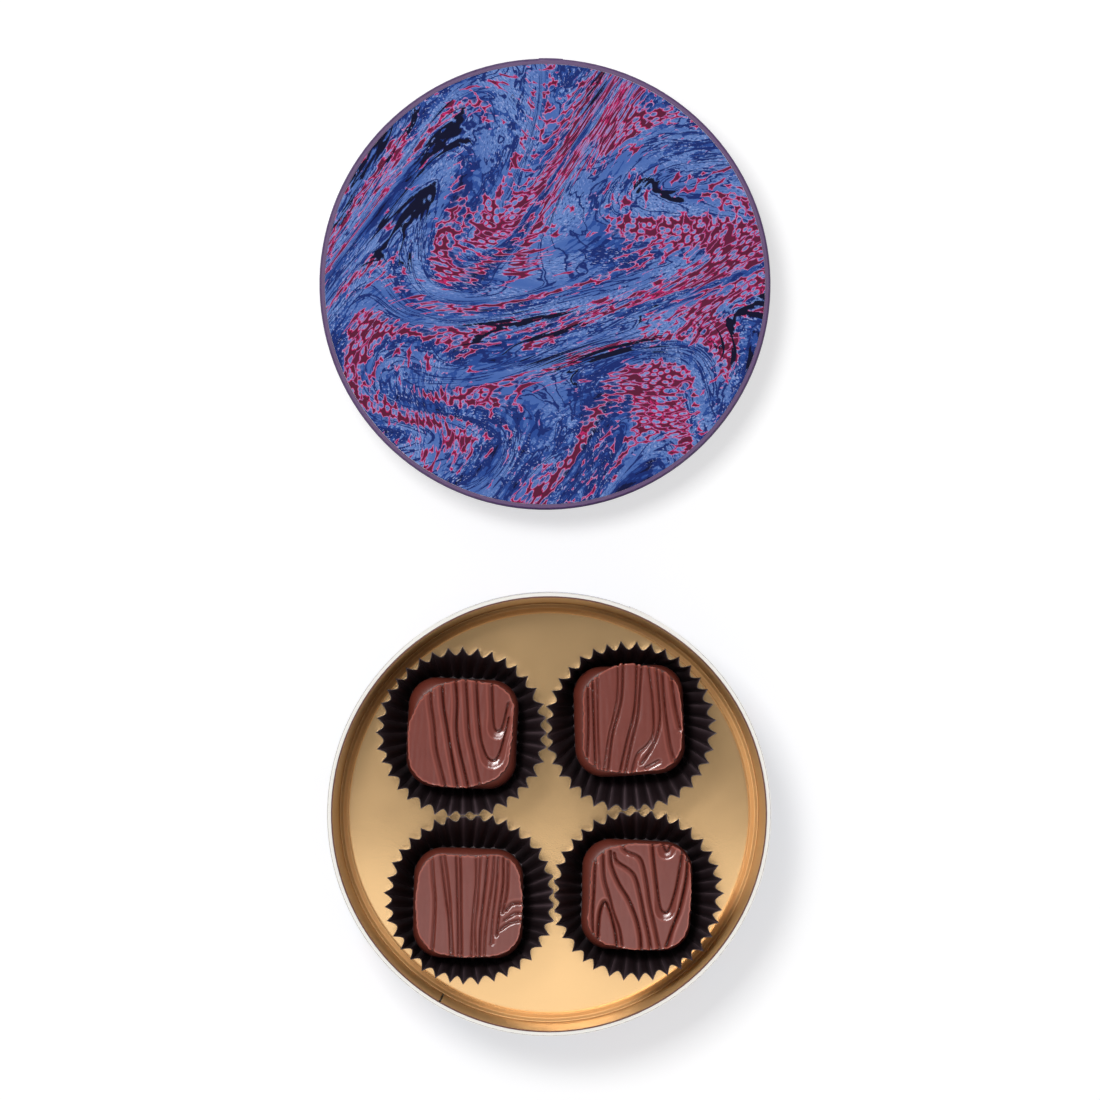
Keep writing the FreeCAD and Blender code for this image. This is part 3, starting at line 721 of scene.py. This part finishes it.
def milk_chocolate(name, shine):
    """Milk chocolate: a satin grained top with painted shade in its grooves and painted highlights on its
    crests and lip, and duller sides, darker partly with painted shade.
    """
    finish = Finish(name, {"Specular IOR Level": shine})
    point = finish.place()
    top = finish.attribute("top")
    cloud = finish.noise(point, *COATING_CLOUD_NOISE)
    fine = finish.noise(point, *COATING_FINE_NOISE)
    colour = finish.mix(top, finish.tones(cloud, COATING_SHADED_SIDE_TONES), finish.tones(cloud, COATING_TOP_TONES))
    # Painted highlight along the crests
    crest_highlight = finish.math("MULTIPLY", finish.attribute("crest_highlight"), COATING_CREST_HIGHLIGHT_SHARE)
    colour = finish.cover(colour, crest_highlight, COATING_CREST_HIGHLIGHT_TONE)
    # Painted highlight along the lip and the rolled lip
    colour = finish.cover(colour, finish.attribute("lip"), COATING_LIP_HIGHLIGHT_TONE)
    # Painted shade in the grooves and under the lip
    colour = finish.cover(colour, finish.attribute("groove_and_shade"), COATING_GROOVE_SHADE_TONE)
    finish.use("Base Color", colour)
    uneven = finish.between(fine, -COATING_UNEVEN, COATING_UNEVEN)
    finish.use("Roughness", finish.math("ADD", finish.between(top, *COATING_ROUGHNESS), uneven))
    finish.bump(finish.math("MULTIPLY", fine, finish.between(top, *COATING_BUMP_SHARES)), *COATING_BUMP)
    return finish.material


def chocolate_centre():
    """A dense filling, duller than the coating."""
    finish = Finish("chocolate_centre", {"Roughness": CENTRE_ROUGHNESS})
    crumb = finish.noise(finish.place(), *CENTRE_CRUMB_NOISE)
    finish.use("Base Color", finish.tones(crumb, CENTRE_TONES))
    finish.bump(crumb, *CENTRE_BUMP)
    return finish.material


def new_piece(name, points_mm, faces, materials, body, replaced):
    """A mesh piece from points in millimetres, riding on a body in place of a CAD node."""
    mesh = bpy.data.meshes.new(name)
    mesh.from_pydata([tuple(point) for point in points_mm * MM], [], faces)
    mesh.update()
    for material in materials:
        mesh.materials.append(material)
    mesh.polygons.foreach_set("use_smooth", [True] * len(mesh.polygons))
    piece = bpy.data.objects.new(name, mesh)
    bpy.context.scene.collection.objects.link(piece)
    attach(piece, body)
    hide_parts(replaced)
    return piece


def add_mark(piece, name, values):
    """Stores a number at each point, for the finish to read."""
    layer = piece.data.attributes.new(name, "FLOAT", "POINT")
    layer.data.foreach_set("value", values)


def spokes(angle):
    """Flat directions of length 1, one for each angle."""
    return np.stack([np.cos(angle), np.sin(angle)], axis=1)


def ring_faces(rings, segments):
    """A fan round the first point, then quads between rings of points."""
    faces = [(0, 1 + here, 1 + (here + 1) % segments) for here in range(segments)]
    for ring in range(rings - 1):
        low = 1 + ring * segments
        high = low + segments
        for here in range(segments):
            after = (here + 1) % segments
            faces.append((low + here, high + here, high + after, low + after))
    return faces


def closing_face(rings, segments):
    """One face over the last ring, looking down."""
    last = 1 + (rings - 1) * segments
    return tuple(range(last + segments - 1, last - 1, -1))


def square_reach(angle, half, corner):
    """Distance from the middle of a rounded square to its edge, along each angle."""
    folded = np.abs((angle + QUARTER / 2) % QUARTER - QUARTER / 2)
    flat = half / np.cos(folded)
    arm = (half - corner) * math.sqrt(2)
    off = folded - QUARTER / 2
    bend = arm * np.cos(off) + np.sqrt(np.maximum(corner**2 - (arm * np.sin(off)) ** 2, 0))
    return np.where(np.tan(folded) <= (half - corner) / half, flat, bend)


def smooth_line(points):
    """A Catmull-Rom curve through the points."""
    points = np.array(points, float)
    padded = np.vstack([2 * points[0] - points[1], points, 2 * points[-1] - points[-2]])
    shares = np.linspace(0, 1, LINE_STEPS, endpoint=False)[:, None]
    curve = []
    for before, start, end, after in zip(padded, padded[1:], padded[2:], padded[3:]):
        bend = 2 * before - 5 * start + 4 * end - after
        twist = 3 * (start - end) + after - before
        curve.append(0.5 * (2 * start + (end - before) * shares + bend * shares**2 + twist * shares**3))
    return np.vstack(curve + [points[-1:]])


def signed_distance(points, curve):
    """How far each point lies from a curve, positive on the right of its run, and the fade past its ends."""
    nearest = np.full(len(points), np.inf)
    side = np.ones(len(points))
    for start, end in zip(curve, curve[1:]):
        way = end - start
        rest = points - start
        along = np.clip(rest @ way / (way @ way), 0, 1)
        gap = rest - along[:, None] * way
        distance = np.hypot(gap[:, 0], gap[:, 1])
        closer = distance < nearest
        nearest[closer] = distance[closer]
        turn = rest[:, 0] * way[1] - rest[:, 1] * way[0]
        side[closer] = np.sign(turn[closer])
    to_ends = np.minimum(np.hypot(*(points - curve[0]).T), np.hypot(*(points - curve[-1]).T))
    fade = np.where(to_ends <= nearest, np.exp(-((nearest / END_FADE_MM) ** 2)), 1.0)
    return nearest * side, fade


def tip_share(points, curve):
    """1 at the lowest bend of a line that turns back up, where its slope is wider, and 0 far from it."""
    lowest = int(np.argmin(curve[:, 1]))
    if lowest in (0, len(curve) - 1):
        return np.zeros(len(points))
    return np.exp(-((np.hypot(*(points - curve[lowest]).T) / TIP_SPREAD_MM) ** 2))


def grain_relief(points, number):
    """Depth of the wood grain at each point of a chocolate's top, the share of its grooves, which also sets
    their painted shade, and the painted highlight along its crests.
    """
    rng = random.Random(number)
    depth = np.zeros(len(points))
    groove_and_shade = np.zeros(len(points))
    crest_highlight = np.zeros(len(points))
    for line in GRAIN_SHARES[number - 1]:
        curve = smooth_line(line) * CHOC_HALF_MM
        distance, fade = signed_distance(points, curve)
        force = CHOC_RELIEF_SHARES[number - 1] * rng.uniform(*LINE_FORCES) * fade
        reach = SLOPE_REACH_MM * CHOC_REACH_SHARES[number - 1] + TIP_REACH_MM * tip_share(points, curve)
        dip = np.exp(-((distance / GROOVE_WIDTH_MM) ** 2))
        ramp = 0.5 + 0.5 * np.cos(math.pi * np.clip(distance / reach, 0, 1))
        slope = np.where(distance > 0, ramp, np.exp(np.minimum(distance, 0) / WALL_REACH_MM))
        depth = np.maximum(depth, force * (GROOVE_DEPTH_MM * dip + SLOPE_DEPTH_MM * slope))
        # The groove share notches the lip and also sets the painted shade in the grooves
        groove_and_shade = np.maximum(groove_and_shade, force * dip)
        crest_highlight = np.maximum(crest_highlight, force * np.exp(-(((distance - reach) / CREST_HIGHLIGHT_WIDTH_MM) ** 2)))
    return depth, groove_and_shade, crest_highlight * (1 - np.clip(depth / SLOPE_DEPTH_MM, 0, 1))


def ripple(angle, rng, waves, size):
    """A closed wavy line: a few random waves round a full turn."""
    result = np.zeros_like(angle)
    for wave in waves:
        result += rng.uniform(*WAVE_FORCES) * np.sin(wave * angle + rng.uniform(0, TURN))
    return size * result / math.sqrt(len(waves))


def chocolate_outline(number, angle, rng):
    """How far the body, the shoulder and the ragged lip reach from the middle, along each angle."""
    body = square_reach(angle, CHOC_BODY_MM, CHOC_CORNER_MM) + ripple(angle, rng, BODY_WAVES, BODY_WAVE_MM)
    insets = np.array(TOP_INSETS_MM[number - 1])
    eighth = angle / (TURN / len(insets))
    first = np.floor(eighth).astype(int) % len(insets)
    share = eighth - np.floor(eighth)
    share = share * share * (3 - 2 * share)
    inset = insets[first] * (1 - share) + insets[(first + 1) % len(insets)] * share
    shoulder = body - LIP_INSET_MM - inset
    edge = shoulder + ripple(angle, rng, LIP_WAVES, LIP_WAVE_MM)
    edge = edge + ripple(angle, rng, LIP_BOWS, LIP_BOW_MM)
    _, groove_and_shade, _ = grain_relief(spokes(angle) * edge[:, None], number)
    return body, shoulder, edge - LIP_NOTCH_MM * groove_and_shade


def chocolate_top(number, angle, edge, top_height, rng):
    """Rings of points from the middle of the pressed top to its lip, and the marks that colour them, painted
    shade and highlights among them.
    """
    shares = (np.arange(CHOC_TOP_RINGS) + 1) / CHOC_TOP_RINGS
    rings = shares[:, None, None] * (edge[:, None] * spokes(angle))[None]
    flat = np.vstack([[[0.0, 0.0]], rings.reshape(-1, 2)])
    depth, groove_and_shade, crest_highlight = grain_relief(flat, number)
    to_edge = np.tile(edge, CHOC_TOP_RINGS) * (1 - np.repeat(shares, CHOC_SEGMENTS))
    # The lip band raises the lip a little and carries its painted highlight
    lip = np.exp(-((np.concatenate([[CHOC_HALF_MM], to_edge]) / LIP_WIDTH_MM) ** 2))
    streaks = np.zeros(len(flat))
    for _ in range(STREAK_COUNT):
        across = rng.uniform(*STREAK_RADIANS_PER_MM)
        lean = rng.uniform(-STREAK_LEAN_PER_MM, STREAK_LEAN_PER_MM)
        streaks += np.sin(across * flat[:, 0] + lean * flat[:, 1] + rng.uniform(0, TURN))
    height = top_height - TOP_DROP_MM - depth + LIP_RAISE_MM * lip * (1 - groove_and_shade)
    height = height + STREAK_HEIGHT_MM * streaks
    marks = {
        "top": np.ones(len(flat)),
        "groove_and_shade": groove_and_shade * GROOVE_SHADE_MARK,
        "crest_highlight": crest_highlight,
        "lip": lip * LIP_HIGHLIGHT_MARK,
    }
    return np.column_stack([flat, height]), marks


def chocolate_side(angle, outline, lip_height, floor, top_height):
    """Rings from the lip to the underside, each as reach, level, painted highlight mark and painted shade
    mark.
    """
    body, shoulder, edge = outline
    neck = np.minimum(np.maximum(shoulder, edge) + NECK_OUT_MM, body)
    neck_height = top_height - NECK_DROP_MM
    belly_height = neck_height - SHOULDER_DROP_MM
    roll_height = np.minimum(lip_height - ROLL_DROP_MM, top_height - ROLL_LEAST_DROP_MM)
    tuck_height = np.minimum(roll_height - TUCK_DROP_MM, neck_height)
    rings = [
        (edge + ROLL_OUT_MM, roll_height, ROLL_HIGHLIGHT_MARK, 0.0),
        (edge + TUCK_OUT_MM, tuck_height, 0.0, TUCK_SHADE),
        (neck, neck_height, 0.0, NECK_SHADE),
    ]
    for bend in np.linspace(SHOULDER_START, QUARTER, SHOULDER_RINGS)[1:]:
        out = (math.sin(bend) - math.sin(SHOULDER_START)) / (1 - math.sin(SHOULDER_START))
        down = 1 - math.cos(bend) / math.cos(SHOULDER_START)
        rings.append((neck + (body - neck) * out, neck_height - SHOULDER_DROP_MM * down, 0.0, 0.0))
    foot = square_reach(angle, CHOC_HALF_MM - FOOT_INSET_MM, CHOC_CORNER_MM)
    for step in np.linspace(1 / BELLY_RINGS, 1, BELLY_RINGS):
        level = belly_height + (floor + FOOT_ROUND_MM - belly_height) * step
        rings.append((body + (foot - body) * step**BELLY_POWER, level, 0.0, 0.0))
    for bend in np.linspace(1 / FOOT_RINGS, 1, FOOT_RINGS) * QUARTER:
        level = floor + FOOT_ROUND_MM * (1 - math.sin(bend))
        rings.append((foot - FOOT_ROUND_MM * (1 - math.cos(bend)), level, 0.0, 0.0))
    rings.append((foot * FOOT_MIDDLE_SHARE, floor, 0.0, 0.0))
    return rings


def build_chocolate(number, top_finish, side_finish):
    """A pressed, grained top with a ragged lip on a rounded body."""
    rng = random.Random(CHOC_SEED + number)
    low, high = (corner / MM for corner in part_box(f"chocolate_coating_{number}"))
    middle = (low + high) / 2
    angle = np.arange(CHOC_SEGMENTS) * TURN / CHOC_SEGMENTS
    outline = chocolate_outline(number, angle, rng)
    top, marks = chocolate_top(number, angle, outline[-1], high.z, rng)
    side = chocolate_side(angle, outline, top[-CHOC_SEGMENTS:, 2], low.z, high.z)

    rings = [top]
    for reach, level, highlight_mark, shade_mark in side:
        rings.append(np.column_stack([spokes(angle) * reach[:, None], np.broadcast_to(level, angle.shape)]))
        ring_marks = {"top": 0.0, "groove_and_shade": shade_mark, "crest_highlight": 0.0, "lip": highlight_mark}
        for name, mark in ring_marks.items():
            marks[name] = np.append(marks[name], np.full(CHOC_SEGMENTS, mark))
    points = np.vstack(rings)
    turn = math.radians(CHOC_TURN_DEGREES[number - 1])
    x = points[:, 0] * math.cos(turn) - points[:, 1] * math.sin(turn) + middle.x
    y = points[:, 0] * math.sin(turn) + points[:, 1] * math.cos(turn) + middle.y
    points = np.column_stack([x, y, points[:, 2]])

    ring_count = CHOC_TOP_RINGS + len(side)
    faces = ring_faces(ring_count, CHOC_SEGMENTS)
    faces.append(closing_face(ring_count, CHOC_SEGMENTS))
    piece = new_piece(f"grained_chocolate_{number}", points, faces, [top_finish, side_finish],
                      f"chocolate_{number}", f"chocolate_coating_{number}")

    # The top's finish runs over the lip to the first ring of the side
    top_faces = (1 + CHOC_TOP_RINGS) * CHOC_SEGMENTS
    piece.data.polygons.foreach_set("material_index", [0] * top_faces + [1] * (len(faces) - top_faces))
    piece.data.set_sharp_from_angle(angle=CHOC_SHARP)
    for name, values in marks.items():
        add_mark(piece, name, values)


def cup_rim_middle(number):
    """Where the middle of a cup's rim lies, drawn in a little towards the middle of the box."""
    low, high = (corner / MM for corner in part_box(f"paper_cup_{number}"))
    return np.array([(low.x + high.x) / 2, (low.y + high.y) / 2]) * CUP_DRAWN_IN_SHARE


def bent_back(rim, way, number):
    """The reach of a cup's rim, with the tips that meet a neighbour bent back where the two touch."""
    for other in range(1, CUP_COUNT + 1):
        if other != number:
            across = cup_rim_middle(other) - cup_rim_middle(number)
            apart = np.hypot(*across)
            towards = np.maximum(way @ (across / apart), CUP_LEAST_SHARE)
            rim = np.minimum(rim, (apart / 2 - CUP_CLEARANCE_MM) / towards)
    return rim


def build_cup(number, paper, cut_edge):
    """A fluted cup: pleats that deepen from the foot to the rim, each a little different."""
    rng = random.Random(CUP_SEED + number)
    low, high = (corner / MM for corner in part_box(f"paper_cup_{number}"))
    choc_low, choc_high = (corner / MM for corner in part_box(f"chocolate_coating_{number}"))
    rim_middle = cup_rim_middle(number)
    foot_middle = np.array([(choc_low.x + choc_high.x) / 2, (choc_low.y + choc_high.y) / 2])
    phase = np.arange(PLEAT_STEPS) / PLEAT_STEPS

    def by_pleat(values, jitter):
        """Values at the pleats' tips, each a little off, and evenly between one tip and the next."""
        drawn = [rng.uniform(-jitter, jitter) for _ in range(CUP_PLEATS)]
        tips = values + np.array(drawn + drawn[:1])
        return (tips[:-1, None] * (1 - phase) + tips[1:, None] * phase).ravel()

    tip_turns = np.arange(CUP_PLEATS + 1) + CUP_TURN_SHARES[number - 1]
    angle = by_pleat(tip_turns, CUP_TURN_JITTER) * TURN / CUP_PLEATS
    tip_reach = by_pleat(CUP_RIM_MM, CUP_REACH_JITTER_MM)
    tip_depth = by_pleat(CUP_RIM_PLEAT_MM, CUP_DEPTH_JITTER_MM)
    valley = np.tile(np.abs(np.sin(math.pi * phase)) ** CUP_VALLEY_POWER, CUP_PLEATS)
    way = spokes(angle)
    turn = math.radians(CHOC_TURN_DEGREES[number - 1])
    hug = square_reach(angle - turn, CHOC_HALF_MM + CUP_FOOT_GAP_MM, CHOC_CORNER_MM + CUP_FOOT_GAP_MM)
    foot = hug + CUP_FOOT_PLEAT_MM * (1 - valley)
    rim = bent_back(tip_reach - tip_depth * valley, way, number)

    rings = []
    for share in np.linspace(CUP_FLOOR_FIRST_SHARE, CUP_FLOOR_LAST_SHARE, CUP_FLOOR_RINGS):
        flat = (hug + CUP_FOOT_PLEAT_MM * (1 - valley) * share**CUP_FLOOR_POWER) * share
        rings.append(np.column_stack([foot_middle + way * flat[:, None], np.full(len(angle), low.z)]))
    for step in np.linspace(0, 1, CUP_RINGS):
        level = low.z + (high.z - low.z) * step
        share = step**CUP_FLARE_POWER
        middle = foot_middle * (1 - share) + rim_middle * share
        reach = foot * (1 - share) + rim * share
        rings.append(np.column_stack([middle + way * reach[:, None], np.full(len(angle), level)]))
    points = np.vstack([[[*foot_middle, low.z]]] + rings)
    faces = ring_faces(len(rings), len(angle))
    piece = new_piece(f"fluted_cup_{number}", points, faces, [paper, cut_edge], f"cup_{number}",
                      f"paper_cup_{number}")
    floor_points = 1 + CUP_FLOOR_RINGS * len(angle)
    # The pleat crests carry the wear and painted sheen
    wall_wear_and_sheen = np.tile((1 - valley) ** CUP_WEAR_AND_SHEEN_POWER, CUP_RINGS)
    add_mark(piece, "crease", np.concatenate([np.zeros(floor_points), wall_wear_and_sheen]))
    piece.data.set_sharp_from_angle(angle=CUP_SHARP)

    # The paper's thickness lies on one side of the points, and its rim shows the cut edge
    thick = piece.modifiers.new("paper", "SOLIDIFY")
    thick.thickness = CUP_PAPER_MM * MM
    thick.offset = -1
    thick.material_offset_rim = 1


def build_tray(gilt):
    """The gilt tray: a raised panel, a rounded shoulder, a crease and a small turned-up rim."""
    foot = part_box("base_tray")[0].z / MM
    way = spokes(np.arange(TRAY_SEGMENTS) * TURN / TRAY_SEGMENTS)
    panel_reach, panel_height = TRAY_PROFILE_MM[0]
    profile = [(panel_reach * share, panel_height) for share in TRAY_PANEL_SHARES]
    profile += TRAY_PROFILE_MM
    rim_reach = TRAY_PROFILE_MM[-1][0]
    profile += [(rim_reach, 0.0), (rim_reach * TRAY_FOOT_SHARE, 0.0)]
    rings = []
    for reach, height in profile:
        rings.append(np.column_stack([way * reach, np.full(TRAY_SEGMENTS, foot + height)]))
    points = np.vstack([[[0, 0, foot + panel_height]]] + rings)
    faces = ring_faces(len(rings), TRAY_SEGMENTS)
    faces.append(closing_face(len(rings), TRAY_SEGMENTS))
    piece = new_piece("pressed_tray", points, faces, [gilt], "base", "base_tray")
    piece.data.set_sharp_from_angle(angle=TRAY_SHARP)


def paint(node, material):
    """Gives a CAD node its material."""
    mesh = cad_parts[node].data
    mesh.materials.clear()
    mesh.materials.append(material)


def dress():
    """Paints the CAD nodes, and builds the tray, the cups and the chocolates."""
    board = raw_board()
    gilt = gilt_card("gilt_card", GILT_TINT, GILT_ROUGHNESS, GILT_METAL, dull_beyond_mm=DULL_BEYOND_MM)
    lining_top_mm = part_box("base_lining")[1].z / MM
    lining = gilt_card("gilt_lining", LINING_TINT, LINING_ROUGHNESS, LINING_METAL, red_edge_mm=lining_top_mm)
    centre = chocolate_centre()
    for node in ("base_wall", "base_floor_board", "lid_hoop", "lid_top_board"):
        paint(node, board)
    for node in ("base_tray", "lid_lining"):
        paint(node, gilt)
    paint("base_lining", lining)
    paint("lid_wrap", purple_paper())
    paint("lid_print", marbled("marbled_lid", lid_point))
    paint("base_wrap", marbled("marbled_wall", wall_point, white_edge=True))
    coating = milk_chocolate("milk_chocolate", COATING_SHINE)
    coating_side = milk_chocolate("milk_chocolate_side", COATING_SIDE_SHINE)
    paper = cup_paper()
    cut_edge = cup_edge()
    build_tray(gilt)
    for number in range(1, CUP_COUNT + 1):
        paint(f"chocolate_centre_{number}", centre)
        build_cup(number, paper, cut_edge)
        build_chocolate(number, coating, coating_side)


def build_floor():
    """A pale floor that is white to the camera away from the shadow."""
    bpy.ops.mesh.primitive_plane_add(size=FLOOR_SIZE, location=(0, 0, -FLOOR_DROP))
    floor = bpy.context.object
    floor.name = "floor"
    finish = Finish("floor", {
        "Base Color": (FLOOR_WHITE, FLOOR_WHITE, FLOOR_WHITE, 1.0),
        "Roughness": 1.0,
        "Specular IOR Level": 0.0,
        "Emission Color": WHITE,
    })
    path = finish.tree.nodes.new("ShaderNodeLightPath")
    straight = finish.math("MAXIMUM", path.outputs["Is Camera Ray"], path.outputs["Is Glossy Ray"])
    straight = finish.math("MAXIMUM", straight, path.outputs["Is Transmission Ray"])
    finish.use("Emission Strength", finish.math("MULTIPLY", straight, FLOOR_GLOW))
    floor.data.materials.append(finish.material)


def add_lamp(name, place, aim, size, watts):
    """A soft lamp turned to a point."""
    lamp = bpy.data.lights.new(name, "AREA")
    lamp.shape = "RECTANGLE"
    lamp.size, lamp.size_y = size
    lamp.energy = watts
    holder = bpy.data.objects.new(name, lamp)
    holder.location = place
    holder.rotation_euler = (Vector(aim) - Vector(place)).to_track_quat("-Z", "Y").to_euler()
    holder.visible_camera = False
    bpy.context.scene.collection.objects.link(holder)
    return holder


def build_studio():
    """A sky that dims overhead, a key light at the back left, and two panels that only gloss shows."""
    scene = bpy.context.scene
    scene.view_settings.view_transform = "Standard"
    world = bpy.data.worlds.new("studio")
    world.use_nodes = True
    nodes = world.node_tree.nodes
    links = world.node_tree.links
    way = nodes.new("ShaderNodeTexCoord")
    split = nodes.new("ShaderNodeSeparateXYZ")
    level = nodes.new("ShaderNodeMapRange")
    level.inputs["From Max"].default_value = DIM_ABOVE
    level.inputs["To Min"].default_value = HORIZON_LEVEL
    level.inputs["To Max"].default_value = ZENITH_LEVEL
    links.new(way.outputs["Generated"], split.inputs[0])
    links.new(split.outputs["Z"], level.inputs["Value"])
    background = nodes["Background"]
    background.inputs["Color"].default_value = WHITE
    links.new(level.outputs[0], background.inputs["Strength"])
    scene.world = world
    add_lamp("key", KEY_PLACE, KEY_AIM, KEY_SIZE, KEY_WATTS)
    card = add_lamp("card", CARD_PLACE, (CARD_PLACE[0], CARD_PLACE[1], 0), CARD_SIZE, CARD_WATTS)
    back = add_lamp("back", BACK_PLACE, BACK_AIM, BACK_SIZE, BACK_WATTS)
    for gloss_only in (card, back):
        gloss_only.visible_diffuse = False


def build_camera():
    """A far camera straight above, which shows the base's rim at the photo's scale."""
    camera = bpy.data.cameras.new("camera")
    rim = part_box("base_wall")[1].z
    focal_pixels = PIXELS_PER_MM / MM * (CAMERA_HEIGHT - rim)
    camera.sensor_width = SENSOR_MM
    camera.lens = SENSOR_MM * focal_pixels / PICTURE_PIXELS
    camera.clip_end = FAR_CLIP
    holder = bpy.data.objects.new("camera", camera)
    holder.location = (CAMERA_MIDDLE_MM[0] * MM, CAMERA_MIDDLE_MM[1] * MM, CAMERA_HEIGHT)
    holder.rotation_euler = (0, 0, CAMERA_ROLL)
    bpy.context.scene.collection.objects.link(holder)
    bpy.context.scene.camera = holder


dress()
build_floor()
build_studio()
build_camera()
